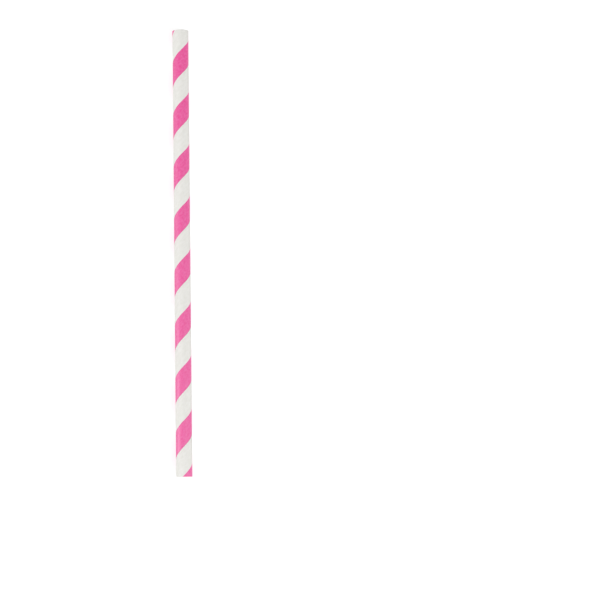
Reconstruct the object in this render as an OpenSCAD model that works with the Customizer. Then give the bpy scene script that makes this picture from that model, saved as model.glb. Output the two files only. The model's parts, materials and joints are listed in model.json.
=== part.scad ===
// Paper drinking straw with a spiral stripe.
// Narrow ribbons of paper are wound on a mandrel and glued to each other, each ply's edges butting in a
// seam that runs round the tube like a thread. The outer ribbon carries the printed stripe. The tube is
// then cut square to length, so the finished straw is one piece with no core and no caps.
// It lies on its side along Y, head end at +Y, on Z = 0. Sizes are millimetres.

/* [Tube] */
// Length from cut end to cut end
straw_length = 197; // [120:1:260]
// Inside diameter, which is the mandrel's diameter
bore_d = 6.3; // [4:0.1:12]
// Thickness of one ply of paper
ply = 0.13; // [0.08:0.01:0.2]
// Number of plies wound on each other
ply_count = 3; // [2:1:5]
// Width of the line on which the straw lies, since so thin a paper wall is never quite round
rest_w = 1.2; // [0.6:0.1:2]

/* [Winding] */
// Angle between the ribbon and a square cut across the straw
wind_angle = 46.4; // [35:0.1:55]
// Gap left where a ribbon's edges meet, square across the seam
seam_gap = 0.1; // [0.05:0.01:0.3]
// Depth to which the seam stays open above the glue in it
seam_depth = 0.06; // [0.05:0.01:0.07]
// Step from one ply's seam to the seam of the next ply in, square across the ribbon
seam_step = 4.6; // [2:0.1:6]

/* [Stripe] */
// Width of the printed stripe, square across it
stripe_w = 7.7; // [3:0.1:8]
// Distance from the head end down to the stripe's first edge, along the uppermost line
stripe_start = 9.7; // [0:0.1:20]

/* [Colours] */
// Colour of the bare paper
paper_colour = "#EDEBE4"; // [#EDEBE4:bleached white, #D9C3A0:kraft brown]
// Colour of the printed stripe
stripe_colour = "#EE5C9E"; // [#EE5C9E:pink, #D8232A:red, #2E7D5B:green, #2B6CB0:blue]

/* [Hidden] */

bore_r = bore_d / 2;
outer_r = bore_r + ply * ply_count;
// Height of the middle of the bore above what the straw lies on
axis_h = sqrt(pow(outer_r, 2) - pow(rest_w / 2, 2));

// The winding: how far a ribbon climbs in a turn, and how a width square across it reads along the straw
lead = 2 * PI * outer_r * tan(wind_angle);
function along(width) = width / cos(wind_angle);
stripe_rise = along(stripe_w);
half_gap = along(seam_gap) / 2;

// Heights, while the tube still stands on its foot, at which each helix crosses the uppermost line
stripe_top = straw_length - stripe_start;
outer_seam_h = stripe_top - stripe_rise;
inner_seam_h = outer_seam_h + (ply_count - 1) * along(seam_step);

// A cutter passes this far beyond the paper that it cuts
clear = 1;
// Straight steps in a turn of the winding: just enough for the outer seam's floor, which is straight from
// ring to ring, to lie a quarter of the seam's depth under the wall at a ring and the whole depth halfway
turn_steps = ceil(180 / acos((outer_r - seam_depth) / (outer_r - seam_depth / 4)));
// Facets round the tube
round_facets = 96;
// Direction of the uppermost line while the tube stands. What it will lie on is opposite, at +Y.
top_line = -90;

// Corners of a section between two radii and two heights
function band(inner, outer, low, high) = [[inner, low], [outer, low], [outer, high], [inner, high]];

// A section of [radius, height] corners, carried up a right-hand helix past both ends of the tube.
// The section's zero height crosses the uppermost line at the height that is given, half a step
// between two rings, so that no ring lies on the line where the tube's round wall closes.
module wound(section, height) {
    corners = len(section);
    reach = max([for (corner = section) abs(corner[1])]);
    below = ceil((height + reach) / lead * turn_steps) + 1;
    above = ceil((straw_length - height + reach) / lead * turn_steps) + 1;
    rings = below + above;
    points = [
        for (ring = [0:rings], corner = section)
            let (turn = (ring - below + 0.5) / turn_steps, angle = top_line + 360 * turn)
            [corner[0] * cos(angle), corner[0] * sin(angle), height + corner[1] + lead * turn]
    ];
    sides = [
        for (ring = [0:rings - 1], i = [0:corners - 1])
            let (j = (i + 1) % corners, low = ring * corners, high = low + corners)
            each [[low + i, low + j, high + j], [low + i, high + j, high + i]]
    ];
    foot = [for (i = [corners - 1:-1:0]) i];
    head = [for (i = [0:corners - 1]) rings * corners + i];
    polyhedron(points, concat(sides, [foot, head]));
}

// The bare tube, standing on its foot, with its bore and the narrow flat on which it will lie
module tube() {
    difference() {
        cylinder(h = straw_length, r = outer_r, $fn = round_facets);
        translate([0, 0, -clear])
            cylinder(h = straw_length + 2 * clear, r = bore_r, $fn = round_facets);
        translate([-rest_w, axis_h, -clear])
            cube([2 * rest_w, clear, straw_length + 2 * clear]);
    }
}

// Everything that the printed stripe crosses, from inside the bore to outside the tube
module stripe_space() {
    wound(band(bore_r - clear, outer_r + clear, -stripe_rise, 0), stripe_top);
}

// The tube with its stripe: two fields of colour that share their edges and make up one wall
module printed_tube() {
    color(paper_colour)
        difference() {
            tube();
            stripe_space();
        }
    color(stripe_colour)
        intersection() {
            tube();
            stripe_space();
        }
}

// Butt joint of the outer ribbon, along the stripe's lower edge
module outer_seam() {
    floor_r = (outer_r - seam_depth) / cos(180 / turn_steps);
    color(paper_colour)
        wound(band(floor_r, outer_r + clear, -half_gap, half_gap), outer_seam_h);
}

// Butt joint of the inner ply, in the bore, stepped on from the outer one
module inner_seam() {
    color(paper_colour)
        wound(band(bore_r - clear, bore_r + seam_depth, -half_gap, half_gap), inner_seam_h);
}

module straw() {
    translate([0, -straw_length / 2, axis_h])
        rotate([-90, 0, 0])
            difference() {
                printed_tube();
                outer_seam();
                inner_seam();
            }
}

straw();
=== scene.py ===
# %% [markdown]
# # A paper drinking straw with a spiral stripe
# The straw comes from the CAD frame as a plain tube, right in size and place. This lesson gives it the
# surface of the real one: three narrow ribbons of paper wound on a mandrel and glued, the outer one
# printed with a stripe, and the tube then cut to length. It could be dressed by giving the CAD mesh a
# material alone, but its triangles don't follow the ribbons. So the paper is made again, a little finer,
# from the frame's sizes and the few sizes of the winding, and it stands for the tube in the picture.

import json
import math

import bpy
import numpy as np
from mathutils import Matrix, Vector


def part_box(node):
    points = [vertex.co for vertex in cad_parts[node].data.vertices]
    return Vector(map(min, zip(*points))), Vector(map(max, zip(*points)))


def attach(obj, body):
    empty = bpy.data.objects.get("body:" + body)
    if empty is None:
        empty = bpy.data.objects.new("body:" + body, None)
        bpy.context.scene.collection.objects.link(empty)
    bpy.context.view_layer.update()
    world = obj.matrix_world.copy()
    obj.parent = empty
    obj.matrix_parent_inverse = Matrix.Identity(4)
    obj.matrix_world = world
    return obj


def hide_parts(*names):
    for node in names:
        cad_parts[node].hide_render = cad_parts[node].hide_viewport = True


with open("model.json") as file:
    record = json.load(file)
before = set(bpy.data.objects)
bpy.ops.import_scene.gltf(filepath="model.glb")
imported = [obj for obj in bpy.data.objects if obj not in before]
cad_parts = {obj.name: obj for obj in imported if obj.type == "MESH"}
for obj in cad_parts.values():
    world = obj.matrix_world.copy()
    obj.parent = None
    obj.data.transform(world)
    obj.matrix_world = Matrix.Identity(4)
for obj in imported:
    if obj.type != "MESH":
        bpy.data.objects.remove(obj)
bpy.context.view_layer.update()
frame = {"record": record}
MM = 0.001

low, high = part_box("straw")
LENGTH = high.y - low.y
OUTER_R = (high.x - low.x) / 2
AXIS_H = high.z - OUTER_R
bore = next(mount for mount in frame["record"]["mounts"] if mount["name"] == "bore")
BORE_R = bore["dims"]["r_mm"] * MM
print(f"tube {LENGTH / MM:.1f} mm long, {2 * OUTER_R / MM:.2f} outside and {2 * BORE_R / MM:.2f} inside")

# %% [markdown]
# ## The camera
# The picture was taken from nearly straight above with a long lens, so the straw hardly narrows with
# distance. A camera can be aimed with a constraint, but its place would then be spread over several
# objects. Here it gets one matrix, from the point it looks at, its lean off the vertical and its turn.

# %% Camera
LENS_MM, SENSOR_MM = 90, 36
CAMERA_AIM = Vector((51.2, -22.7, 3.5)) * MM
CAMERA_DISTANCE = 654.8 * MM
CAMERA_LEAN = math.radians(6.4)
CAMERA_TURN = math.radians(-1.0)
CLIP_START = 10 * MM

camera_data = bpy.data.cameras.new("camera")
camera_data.lens = LENS_MM
camera_data.sensor_width = SENSOR_MM
camera_data.clip_start = CLIP_START
camera = bpy.data.objects.new("camera", camera_data)
bpy.context.scene.collection.objects.link(camera)
facing = Matrix.Rotation(CAMERA_TURN, 4, "Z") @ Matrix.Rotation(CAMERA_LEAN, 4, "X")
camera.matrix_world = (
    Matrix.Translation(CAMERA_AIM) @ facing @ Matrix.Translation((0, 0, CAMERA_DISTANCE))
)
bpy.context.scene.camera = camera
print("camera at", [round(c / MM, 1) for c in camera.matrix_world.translation], "mm")

# %% [markdown]
# ## The winding
# Each ribbon runs round the tube like a screw thread. How far it climbs in a turn, the lead, follows from
# the angle at which it was fed and the size of the tube, and so does its width: its two edges have to meet
# after one turn. The same lead holds for every ply, so the inner one, on a smaller round, runs steeper.
# The stripe is printed along one edge of the outer ribbon.

# %% Sizes of the winding
PLIES = 3
PLY = (OUTER_R - BORE_R) / PLIES
FEED_ANGLE = math.radians(46.4)
LEAD = 2 * math.pi * OUTER_R * math.tan(FEED_ANGLE)
STRIPE_W = 7.7 * MM
STRIPE_START = 9.7 * MM
SEAM_GAP = 0.1 * MM
SEAM_DEPTH = 0.06 * MM
SEAM_STEP = 4.6 * MM

# Places along the tube at which the outer and the inner seam cross its uppermost line
OUTER_SEAM_Y = LENGTH / 2 - STRIPE_START - STRIPE_W / math.cos(FEED_ANGLE)
INNER_SEAM_Y = OUTER_SEAM_Y + (PLIES - 1) * SEAM_STEP / math.cos(FEED_ANGLE)


def ribbon_on(radius):
    """Steepness and width of a ribbon whose edges meet after one turn round this radius:
    tan(steepness) = lead / circumference, and width = lead x cos(steepness)."""
    steepness = math.atan2(LEAD, 2 * math.pi * radius)
    return steepness, LEAD * math.cos(steepness)


for ply_name, radius in (("outer", OUTER_R), ("inner", BORE_R)):
    steepness, width = ribbon_on(radius)
    print(f"{ply_name} ribbon {width / MM:.2f} mm wide, at {math.degrees(steepness):.1f} degrees")

# %% [markdown]
# ## The paper's form
# Thin paper is never quite round. A ribbon sinks a little towards its glued edges, the wall swells and
# shrinks by a hundredth of a millimetre, the tube has a narrow flat where it lies, and the knife leaves
# the head end slightly oval and not quite square. All of this could be a displacement modifier, but it
# would need a very fine mesh everywhere. As functions of a place on the ribbon it needs points only where
# the form changes.

# %% Round, oval and sunk
OVAL = 0.1 * MM
SLANT = 0.1 * MM
KNIFE_REACH = 2.5 * MM
CROWN = 0.012 * MM
SWELL = 0.008 * MM
SWELL_WAVES = 6
SWELL_LENGTHS = (7 * MM, 25 * MM)
SEED = 4
FADE = 1.0 * MM
LIP = 0.03 * MM
END_Y = LENGTH / 2 - LIP

# Directions, radians in a metre and starting phases of the swell's waves
rng = np.random.default_rng(SEED)
wave_way = rng.uniform(0, 2 * np.pi, SWELL_WAVES)
wave_count = 2 * np.pi / rng.uniform(*SWELL_LENGTHS, SWELL_WAVES)
wave_start = rng.uniform(0, 2 * np.pi, SWELL_WAVES)


def placed(radius, angle, y):
    """Places of points given by their radius, their angle from the uppermost line and their y.

    x = radius sin(angle), and z = axis + radius cos(angle) but never under the table. At the head end
    either side is OVAL wider and the top twice OVAL lower, while the bottom stays, and the right side is
    longer by twice SLANT. All of it fades with the distance from the cut."""
    near_knife = np.exp((y - LENGTH / 2) / KNIFE_REACH)
    oval = OVAL / OUTER_R * near_knife
    x = radius * np.sin(angle) * (1 + oval)
    z = AXIS_H + radius * np.cos(angle) * (1 - oval) - OUTER_R * oval
    y = y + SLANT * near_knife * (1 + np.sin(angle))
    return np.stack(np.broadcast_arrays(x, y, np.maximum(z, 0)), -1)


def sunk(along, across, width):
    """How far the paper lies under a true round, for a place on its ribbon: the crown, which is the fourth
    power of the distance from the ribbon's middle, the swell, which is the mean of a few long waves, and
    at the seam a dip with the shape of one cosine wave."""
    crown = CROWN * (2 * across / width - 1) ** 4
    on_wave = along[..., None] * np.cos(wave_way) + across[..., None] * np.sin(wave_way)
    swell = SWELL * (1 + np.sin(on_wave * wave_count + wave_start).mean(-1)) / 2
    from_seam = np.minimum(across, width - across) / (SEAM_GAP / 2)
    dip = SEAM_DEPTH * (1 + np.cos(np.pi * np.clip(from_seam, 0, 1))) / 2
    return crown + swell + dip


# %% [markdown]
# ## The two walls
# The outer wall and the bore are grids whose rows run along the ribbon and whose columns stand upright on
# the tube. A plain lathe grid would be simpler, but a spiral seam would cut across all its cells. Here the
# seam is one row, and only there the rows lie close. The last row of one turn is the first of the next, and
# rows that run past the tube's end are held to it, so the cells there become triangles.

# %% A wall as a wound ribbon
COLUMNS = 128
ROW_STEP = 0.8 * MM
SNAP = 0.03 * MM
SEAM_ROWS = np.array([0, 0.5, 1, 2])
CORNER_ROW = np.array([0, 0, 1, 1])
CORNER_COLUMN = np.array([0, 1, 1, 0])
ANGLES = 2 * np.pi * np.arange(COLUMNS + 1) / COLUMNS


def ribbon_rows(width):
    """Distances across a ribbon at which its rows run: SEAM_ROWS x half the seam's gap from either edge,
    and about ROW_STEP apart between."""
    close = SEAM_ROWS * SEAM_GAP / 2
    middle = np.linspace(close[-1], width - close[-1], round(width / ROW_STEP))[1:-1]
    return np.concatenate([close, middle, width - close[:0:-1]])


def cells(grid):
    """The four corners of every cell of a grid of values, in the order that faces forwards."""
    row = np.arange(len(grid) - 1)[:, None, None] + CORNER_ROW
    column = np.arange(COLUMNS)[:, None] + CORNER_COLUMN
    return grid[row, column]


def wound_wall(radius, seam_y, into_paper):
    """Places and ribbon coordinates of the corners of a wall's cells.

    A point that is `across` the ribbon in a given turn has y = seam + lead (turn + angle / 360) +
    across / cos(steepness). Along the ribbon it is at radius x winding x cos(steepness) +
    (y - seam) x sin(steepness), where the winding counts the turns' angles on from the first.
    into_paper is -1 on the outer wall and 1 in the bore, the way in which a dip changes the radius."""
    steepness, width = ribbon_on(radius)
    rise, run = math.sin(steepness), math.cos(steepness)
    first = math.floor((-END_Y - seam_y) / LEAD) - 1
    last = math.ceil((END_Y - seam_y) / LEAD)
    across = ribbon_rows(width)
    turn = np.append(np.repeat(np.arange(first, last), len(across)), last)[:, None]
    across = np.append(np.tile(across, last - first), 0.0)[:, None]
    winding = 2 * np.pi * turn + ANGLES
    y = seam_y + LEAD * winding / (2 * np.pi) + across / run
    y = np.where(y > END_Y - SNAP, END_Y, np.where(y < SNAP - END_Y, -END_Y, y))
    along = radius * winding * run + (y - seam_y) * rise
    fade = np.clip((END_Y - abs(y)) / FADE, 0, 1)
    sink = fade * sunk(along, np.broadcast_to(across, y.shape), width)
    places = cells(placed(radius + into_paper * sink, ANGLES, y))
    # A cell's upper corners may belong to the next turn, so its own turn's winding is used for all four
    corner_y = cells(y) - seam_y
    corner_winding = winding[:-1][:, np.arange(COLUMNS)[:, None] + CORNER_COLUMN]
    corner_along = radius * corner_winding * run + corner_y * rise
    corner_across = corner_y * run - radius * corner_winding * rise
    ribbon = np.stack([corner_along, corner_across], -1) / MM
    return places, ribbon


# %% [markdown]
# ## The cut ends
# A round knife cuts the tube square. On the cut the three plies show as three thin rings, each with its
# two corners slightly rounded and the glue sunk between them, and a few fibres are left a hair shorter or
# longer. A bevel modifier could round the tube's corners but not the plies'. So the cut is a profile of
# quarter rounds that is carried round the tube.

# %% A cut end as a carried profile
FRAY = 0.012 * MM
CORNER_STEPS = np.radians([0, 30, 60, 90])


def cut_profile():
    """Radius and inset of the cut's points, from the outside in. At a ply's corners
    depth = lip (1 - cos q) and inset = lip (1 - sin q), for the angles q of CORNER_STEPS."""
    depth, inset = LIP * (1 - np.cos(CORNER_STEPS)), LIP * (1 - np.sin(CORNER_STEPS))
    depth = np.concatenate([depth, PLY - depth[::-1]])
    inset = np.concatenate([inset, inset[::-1]])
    depths = np.append(0.0, (np.arange(PLIES)[:, None] * PLY + depth[1:]).ravel())
    return OUTER_R - depths, np.append(inset[0], np.tile(inset[1:], PLIES))


def cut_end(end):
    """Places and coordinates of the corners of one cut's cells. end is 1 at the head and -1 at the foot."""
    radius, inset = (values[:, None] for values in cut_profile())
    fray = rng.random((len(radius), COLUMNS)) * FRAY
    fray[[0, -1]] = 0
    fray = np.concatenate([fray, fray[:, :1]], 1)
    y = end * (LENGTH / 2 - np.broadcast_to(inset, fray.shape) - fray)
    arc = np.broadcast_to(OUTER_R * ANGLES, fray.shape)
    ring = np.stack([arc, np.broadcast_to(radius, fray.shape)], -1) / MM
    return cells(placed(radius, ANGLES, y)), cells(ring)


# %% [markdown]
# ## One sheet of paper
# The real straw is one piece, so its walls and cuts are welded into one closed mesh. The corners of all
# cells are compared on a grid of a hundredth of a micron, and those that fall together become one vertex.
# Blender's own merge by distance would do it too, but this way the ribbon map keeps its order.

# %% Weld and build
WELD = 1e-5 * MM
PRINTED, BARE, CUT = range(3)
SHARP_ANGLE = math.radians(40)


def welded(parts):
    """Vertices, faces, corner maps and material numbers of parts given as (cells, flipped, material).
    A cell whose two left or two right corners fell together is a triangle, and one where both did is none."""
    corners = [c[:, :, ::-1] if flipped else c for (c, _), flipped, _ in parts]
    maps = [m[:, :, ::-1] if flipped else m for (_, m), flipped, _ in parts]
    slots = [slot for _, _, slot in parts]
    material = np.concatenate([np.full(c[:, :, 0, 0].size, slot) for c, slot in zip(corners, slots)])
    corners = np.concatenate([c.reshape(-1, 4, 3) for c in corners])
    maps = np.concatenate([m.reshape(-1, 4, 2) for m in maps])
    keys = np.rint(corners.reshape(-1, 3) / WELD).astype(np.int64)
    _, kept, ids = np.unique(keys, axis=0, return_index=True, return_inverse=True)
    ids = ids.reshape(-1, 4)
    left, right = ids[:, 0] == ids[:, 3], ids[:, 1] == ids[:, 2]
    shapes = ((~left & ~right, [0, 1, 2, 3]), (left & ~right, [0, 1, 2]), (right & ~left, [0, 1, 3]))
    faces = [face for chosen, order in shapes for face in ids[chosen][:, order].tolist()]
    face_maps = np.concatenate([maps[chosen][:, order].reshape(-1, 2) for chosen, order in shapes])
    slots = np.concatenate([material[chosen] for chosen, _ in shapes])
    return corners.reshape(-1, 3)[kept], faces, face_maps, slots


parts = [
    (wound_wall(OUTER_R, OUTER_SEAM_Y, -1), False, PRINTED),
    (wound_wall(BORE_R, INNER_SEAM_Y, 1), True, BARE),
    (cut_end(1), False, CUT),
    (cut_end(-1), True, CUT),
]
vertices, faces, ribbon_map, slots = welded(parts)
mesh = bpy.data.meshes.new("paper_straw")
mesh.from_pydata(vertices, [], faces)
mesh.uv_layers.new(name="ribbon").uv.foreach_set("vector", ribbon_map.astype(np.float32).ravel())
mesh.polygons.foreach_set("material_index", slots.astype(np.int32))
mesh.shade_smooth()
mesh.set_sharp_from_angle(angle=SHARP_ANGLE)
straw = bpy.data.objects.new("paper_straw", mesh)
bpy.context.scene.collection.objects.link(straw)
loops = np.zeros(len(mesh.loops), np.int32)
mesh.loops.foreach_get("edge_index", loops)
open_edges = int((np.bincount(loops, minlength=len(mesh.edges)) != 2).sum())
triangles = sum(len(face) - 2 for face in faces)
print(len(vertices), "vertices,", triangles, "triangles,", open_edges, "open edges")

# %% [markdown]
# ## Colours and nodes
# Colours are written as sRGB hex values, as a maker would pick them from a swatch, and turned to the
# linear values that shaders mix. One function adds a node, so that a material reads as a list of steps.

# %% Helpers for materials
def linear(hex_colour):
    """An sRGB hex colour as linear RGBA: the sRGB curve's straight part below 0.04045, its power above."""
    srgb = np.array([int(hex_colour[i : i + 2], 16) for i in (1, 3, 5)]) / 255
    rgb = np.where(srgb <= 0.04045, srgb / 12.92, ((srgb + 0.055) / 1.055) ** 2.4)
    return (*rgb.tolist(), 1.0)


def add(tree, kind, inputs=(), **settings):
    """Adds a shader node, sets its settings, and sets or links its inputs, given by name or number."""
    made = tree.nodes.new("ShaderNode" + kind)
    for name, value in settings.items():
        setattr(made, name, value)
    for name, value in dict(inputs).items():
        if isinstance(value, bpy.types.NodeSocket):
            tree.links.new(value, made.inputs[name])
        else:
            made.inputs[name].default_value = value
    return made


def new_material(name):
    """A material with an empty node tree."""
    material = bpy.data.materials.new(name)
    material.use_nodes = True
    material.node_tree.nodes.clear()
    return material, material.node_tree


# %% [markdown]
# ## The printed ply
# Food-grade kraft paper, bleached, about 100 grams a square metre, made smooth between rollers and printed
# by flexography: a soft rubber plate lays down one even ink. What that gives the eye is a dull white with
# faint clouds and fibres, and a satin pink that is a little uneven, because the ink sinks in between the
# fibres and misses a pit here and there, with an edge that wanders by a few hundredths of a millimetre.
# Towards the foot the pink is painted paler, a painted sheen for the haze of light that lies stronger there.
# Where the ribbon's edges meet, the ply below shows as a thin line, darkened with painted shade in its
# groove. Nearly all of it follows the ribbon, so it reads the ribbon map, in millimetres along and across.
# The fibres are drawn 0.2 mm thick, ten times their real size, because real ones are too fine to show.

# %% Printed paper
PAPER = "#EAE9E5"
PAPER_THICK = "#E3E2DC"
# The seam's line: the ply below, darkened with painted shade of the groove.
SEAM_PLY_AND_SHADE = "#C9C6BC"
INK = "#E43D8C"
INK_THIN = "#EA6AA9"
# The pale ink of a missed pit, also the colour of the painted sheen towards the foot.
INK_MISSED_AND_SHEEN = "#F08DBB"
# Painted sheen: the share by which the ink is painted paler at the foot than at the head.
INK_PAINTED_SHEEN = 0.3
PAPER_IOR = 1.5
PAPER_ROUGHNESS = 0.65
INK_ROUGHNESS = 0.43
FIBRES = {"sizes_mm": (1.4, 0.2, 1), "detail": 3.0}
FIBRE_SHARE = 0.5
FIBRE_RELIEF = 0.012 * MM
CLOUDS = {"sizes_mm": (2.4, 1.2, 1), "detail": 4.0}
CLOUD_SPREAD = 0.2
MOTTLE = {"sizes_mm": (1.2, 0.8, 1), "detail": 5.0}
PITS = {"sizes_mm": (0.28, 0.16, 1), "detail": 2.0}
PIT_START, PIT_FULL = 0.64, 0.8
WANDER = {"sizes_mm": (1.5, STRIPE_W / MM, 1), "detail": 4.0}
WANDER_MM = 0.1
INK_FEATHER_MM = 0.06
NOISE_LOW, NOISE_MIDDLE, NOISE_HIGH = 0.3, 0.5, 0.7


def ribbon_places(tree):
    """Places on the ribbon, and their distances across it, in millimetres."""
    ribbon = add(tree, "UVMap", uv_map="ribbon").outputs[0]
    return ribbon, add(tree, "SeparateXYZ", {0: ribbon}).outputs[1]


def ribbon_noise(tree, ribbon, sizes_mm, detail):
    """Noise on the ribbon whose grains have these sizes in millimetres along and across it."""
    scaled = add(tree, "VectorMath", {0: ribbon, 1: sizes_mm}, operation="DIVIDE")
    return add(tree, "TexNoise", {"Vector": scaled.outputs[0], "Scale": 1.0, "Detail": detail}).outputs[0]


def between(tree, value, start, stop, to_start=0.0, to_stop=1.0, **settings):
    """A value carried from one range to another, and held at its ends."""
    inputs = {"Value": value, "From Min": start, "From Max": stop, "To Min": to_start, "To Max": to_stop}
    return add(tree, "MapRange", inputs, **settings).outputs[0]


def mixed(tree, factor, first, second):
    """Two colours mixed by a factor."""
    return add(tree, "Mix", {0: factor, 6: first, 7: second}, data_type="RGBA").outputs[2]


def relief(tree, height):
    """The normal that a height from 0 to 1 gives, where 1 stands FIBRE_RELIEF high."""
    return add(tree, "Bump", {"Height": height, "Distance": FIBRE_RELIEF, "Strength": 1.0}).outputs[0]


def fibrous_paper(tree, ribbon, thin, thick):
    """The paper's colour and the relief of its fibres, which lie along the ribbon.

    The colour runs from thin to thick with clouds + FIBRE_SHARE x fibres, over CLOUD_SPREAD on either
    side of what that is when both noises have their middle value."""
    fibres = ribbon_noise(tree, ribbon, **FIBRES)
    clouds = ribbon_noise(tree, ribbon, **CLOUDS)
    both = add(tree, "Math", {0: fibres, 1: FIBRE_SHARE, 2: clouds}, operation="MULTIPLY_ADD").outputs[0]
    middle = NOISE_MIDDLE + NOISE_MIDDLE * FIBRE_SHARE
    thickness = between(tree, both, middle - CLOUD_SPREAD, middle + CLOUD_SPREAD)
    return mixed(tree, thickness, linear(thin), linear(thick)), relief(tree, fibres)


def with_seam(tree, across, radius, colour):
    """A colour with the ply below, darkened with painted shade of the groove, drawn where the ribbon's
    edges meet. The distance from the nearest edge rises and falls once in each width."""
    width = ribbon_on(radius)[1]
    from_edge = add(tree, "Math", {0: across, 1: width / 2 / MM}, operation="PINGPONG").outputs[0]
    # Painted shade: the seam's groove is darkened in colour.
    groove_shade = between(tree, from_edge, SEAM_GAP / 4 / MM, SEAM_GAP / 2 / MM, 1.0, 0.0)
    return mixed(tree, groove_shade, colour, linear(SEAM_PLY_AND_SHADE))


def paper_surface(tree, colour, roughness, normal):
    """Ends a paper's nodes with its surface."""
    shader = add(tree, "BsdfPrincipled", {
        "Base Color": colour,
        "Roughness": roughness,
        "IOR": PAPER_IOR,
        "Normal": normal,
    })
    add(tree, "OutputMaterial", {"Surface": shader.outputs[0]})


def printed_paper():
    """Bleached paper with the stripe: colour by ink laid over paper, where the ribbon map says.

    The ink is painted as pale as in a missed pit by a share that grows from none at the head to the most
    at the foot: a painted sheen, for the haze of light that lies stronger there."""
    material, tree = new_material("bleached_kraft_flexo_print")
    ribbon, across = ribbon_places(tree)
    paper, normal = fibrous_paper(tree, ribbon, PAPER, PAPER_THICK)
    wander = ribbon_noise(tree, ribbon, **WANDER)
    shift = between(tree, wander, NOISE_LOW, NOISE_HIGH, -WANDER_MM / 2, WANDER_MM / 2)
    edge = add(tree, "Math", {0: across, 1: shift}, operation="ADD").outputs[0]
    edges_at = STRIPE_W / MM - INK_FEATHER_MM, STRIPE_W / MM + INK_FEATHER_MM
    laid = between(tree, edge, *edges_at, 1.0, 0.0, interpolation_type="SMOOTHSTEP")
    mottle = between(tree, ribbon_noise(tree, ribbon, **MOTTLE), NOISE_LOW, NOISE_HIGH)
    missed = between(tree, ribbon_noise(tree, ribbon, **PITS), PIT_START, PIT_FULL)
    y = add(tree, "SeparateXYZ", {0: add(tree, "TexCoord").outputs["Object"]}).outputs[1]
    # Painted sheen: the ink is painted paler towards the foot, where the haze of light lies stronger.
    painted_sheen = between(tree, y, -LENGTH / 2, LENGTH / 2, INK_PAINTED_SHEEN, 0.0)
    pits_and_sheen = add(tree, "Math", {0: missed, 1: painted_sheen}, operation="MAXIMUM").outputs[0]
    ink = mixed(tree, pits_and_sheen, mixed(tree, mottle, linear(INK), linear(INK_THIN)), linear(INK_MISSED_AND_SHEEN))
    colour = with_seam(tree, across, OUTER_R, mixed(tree, laid, paper, ink))
    roughness = between(tree, laid, 0.0, 1.0, PAPER_ROUGHNESS, INK_ROUGHNESS)
    paper_surface(tree, colour, roughness, normal)
    return material


mesh.materials.append(printed_paper())
print(f"printed stripe {STRIPE_W / MM:.1f} mm wide, fibres {FIBRES['sizes_mm'][1]} mm")

# %% [markdown]
# ## The bare ply and the cut
# Inside, the straw is the same paper without ink, a little rougher because no roller smoothed that side.
# On the cut the fibres end in the open, so it is duller and whiter, with the glue as a slightly darker
# line between the plies. The lines follow the distance from the tube's axis, which Object coordinates
# give at both ends alike.

# %% Bare paper and cut edge
BARE_PAPER = "#E9E7E0"
BARE_THICK = "#E0DED6"
BARE_ROUGHNESS = 0.7
CUT_FIBRE = "#F0EEE8"
CUT_GLUE = "#CFCBBF"
CUT_ROUGHNESS = 0.85
CUT_GRAIN_MM = 0.12
CUT_GRAIN_DETAIL = 3.0
GLUE_LINE_MM = 0.03


def bare_paper():
    """Bleached paper without ink, with its fibres and the inner ply's seam, darkened with painted shade in
    its groove.
    """
    material, tree = new_material("bleached_kraft_bare")
    ribbon, across = ribbon_places(tree)
    paper, normal = fibrous_paper(tree, ribbon, BARE_PAPER, BARE_THICK)
    paper_surface(tree, with_seam(tree, across, BORE_R, paper), BARE_ROUGHNESS, normal)
    return material


def cut_edge():
    """The cut ends of the fibres, darker where the distance from the axis falls between two plies."""
    material, tree = new_material("cut_paper_edge")
    place = add(tree, "TexCoord").outputs["Object"]
    from_axis = add(tree, "VectorMath", {0: place, 1: (0, 0, AXIS_H)}, operation="SUBTRACT").outputs[0]
    flat = add(tree, "VectorMath", {0: from_axis, 1: (1, 0, 1)}, operation="MULTIPLY").outputs[0]
    radius = add(tree, "VectorMath", {0: flat}, operation="LENGTH").outputs["Value"]
    depth = add(tree, "Math", {0: OUTER_R, 1: radius}, operation="SUBTRACT").outputs[0]
    to_glue = add(tree, "Math", {0: depth, 1: PLY / 2}, operation="PINGPONG").outputs[0]
    glue = between(tree, to_glue, 0.0, GLUE_LINE_MM * MM, 1.0, 0.0)
    noise = {"Vector": place, "Scale": 1 / (CUT_GRAIN_MM * MM), "Detail": CUT_GRAIN_DETAIL}
    grain = add(tree, "TexNoise", noise).outputs[0]
    tone = between(tree, grain, NOISE_LOW, NOISE_HIGH)
    fibre = mixed(tree, tone, linear(CUT_FIBRE), linear(BARE_THICK))
    colour = mixed(tree, glue, fibre, linear(CUT_GLUE))
    paper_surface(tree, colour, CUT_ROUGHNESS, relief(tree, grain))
    return material


mesh.materials.append(bare_paper())
mesh.materials.append(cut_edge())
print("materials", [material.name for material in mesh.materials])

# %% [markdown]
# ## The straw on the frame
# The straw doesn't move, so it rides on the one body that the frame has, and it replaces the plain tube.

# %% Ride and replace
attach(straw, "root")
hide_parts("straw")

# %% [markdown]
# ## Floor and light
# The picture is a pale one: the straw on white, in a white room with a low wide lamp at its left, which
# gives the ink its paler side, and another high at its right, towards the foot, which makes the paper as
# bright on the right as on the left. A third stands beyond the head end, so that both cuts are lit. One big
# lamp overhead would be simpler, but it would leave both sides grey. A real photographer would light the
# white floor more than the straw. Here the floor adds its white only for the camera and for reflections,
# so that the straw keeps its own colours and its soft shadow stays.

# %% Floor
FLOOR_SIZE = 4.0
FLOOR_PAPER = "#B8B8B8"
FLOOR_GLOW = 0.69


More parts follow.
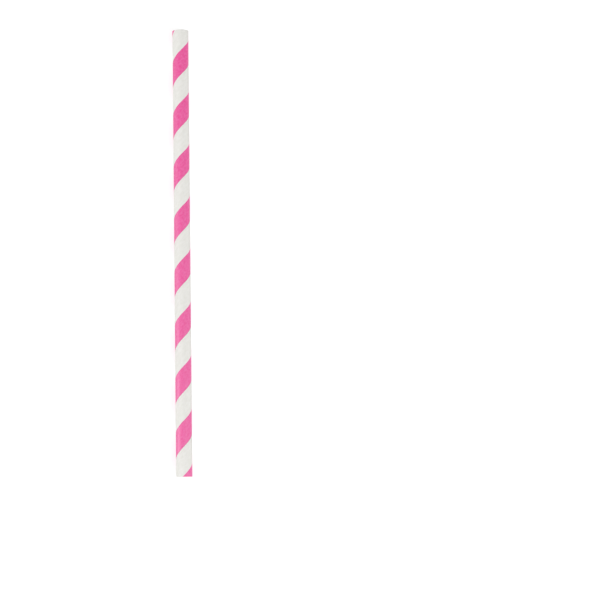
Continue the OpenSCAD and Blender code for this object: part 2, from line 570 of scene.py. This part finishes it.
def seen_rays(tree):
    """1 for rays by which the white background is seen: from the camera, in gloss and through glass."""
    rays = add(tree, "LightPath").outputs
    glossy = add(tree, "Math", {0: rays["Is Camera Ray"], 1: rays["Is Glossy Ray"]}, operation="MAXIMUM")
    both = {0: glossy.outputs[0], 1: rays["Is Transmission Ray"]}
    return add(tree, "Math", both, operation="MAXIMUM").outputs[0]


def floor_paper():
    """A matt pale sheet, with a white glow that only seen rays get."""
    material, tree = new_material("floor_paper")
    sheet = add(tree, "BsdfDiffuse", {"Color": linear(FLOOR_PAPER)}).outputs[0]
    strength = add(tree, "Math", {0: seen_rays(tree), 1: FLOOR_GLOW}, operation="MULTIPLY").outputs[0]
    glow = add(tree, "Emission", {"Strength": strength}).outputs[0]
    both = add(tree, "AddShader", {0: sheet, 1: glow}).outputs[0]
    add(tree, "OutputMaterial", {"Surface": both})
    return material


half = FLOOR_SIZE / 2
floor_corners = [(-half, -half, 0), (half, -half, 0), (half, half, 0), (-half, half, 0)]
floor_mesh = bpy.data.meshes.new("floor")
floor_mesh.from_pydata(floor_corners, [], [(0, 1, 2, 3)])
floor_mesh.materials.append(floor_paper())
floor = bpy.data.objects.new("floor", floor_mesh)
bpy.context.scene.collection.objects.link(floor)

# %% Light
WHITE = (1, 1, 1, 1)
ROOM_LIGHT = 0.38
SIDE_LAMP = {"place": (-1500, -260, 500), "size": 1000, "power": 16.2}
TOP_LAMP = {"place": (1200, -1000, 1200), "size": 1300, "power": 27.8}
END_LAMP = {"place": (-100, 1400, 300), "size": 600, "power": 6.0}


def soft_lamp(name, place, size, power):
    """A square lamp at a place in millimetres, of a size in millimetres, turned towards the straw."""
    light = bpy.data.lights.new(name, "AREA")
    light.size = size * MM
    light.energy = power
    lamp = bpy.data.objects.new(name, light)
    bpy.context.scene.collection.objects.link(lamp)
    spot = Vector(place) * MM
    lamp.matrix_world = Matrix.Translation(spot) @ spot.to_track_quat("Z", "Y").to_matrix().to_4x4()


soft_lamp("side_lamp", **SIDE_LAMP)
soft_lamp("top_lamp", **TOP_LAMP)
soft_lamp("end_lamp", **END_LAMP)


def white_room():
    """A world that is white where it is seen, and ROOM_LIGHT bright where it lights the straw."""
    room = bpy.data.worlds.new("white_room")
    room.use_nodes = True
    tree = room.node_tree
    tree.nodes.clear()
    strength = between(tree, seen_rays(tree), 0.0, 1.0, ROOM_LIGHT, 1.0)
    background = add(tree, "Background", {"Color": WHITE, "Strength": strength})
    add(tree, "OutputWorld", {"Surface": background.outputs[0]})
    return room


bpy.context.scene.world = white_room()
bpy.context.scene.view_settings.view_transform = "Standard"
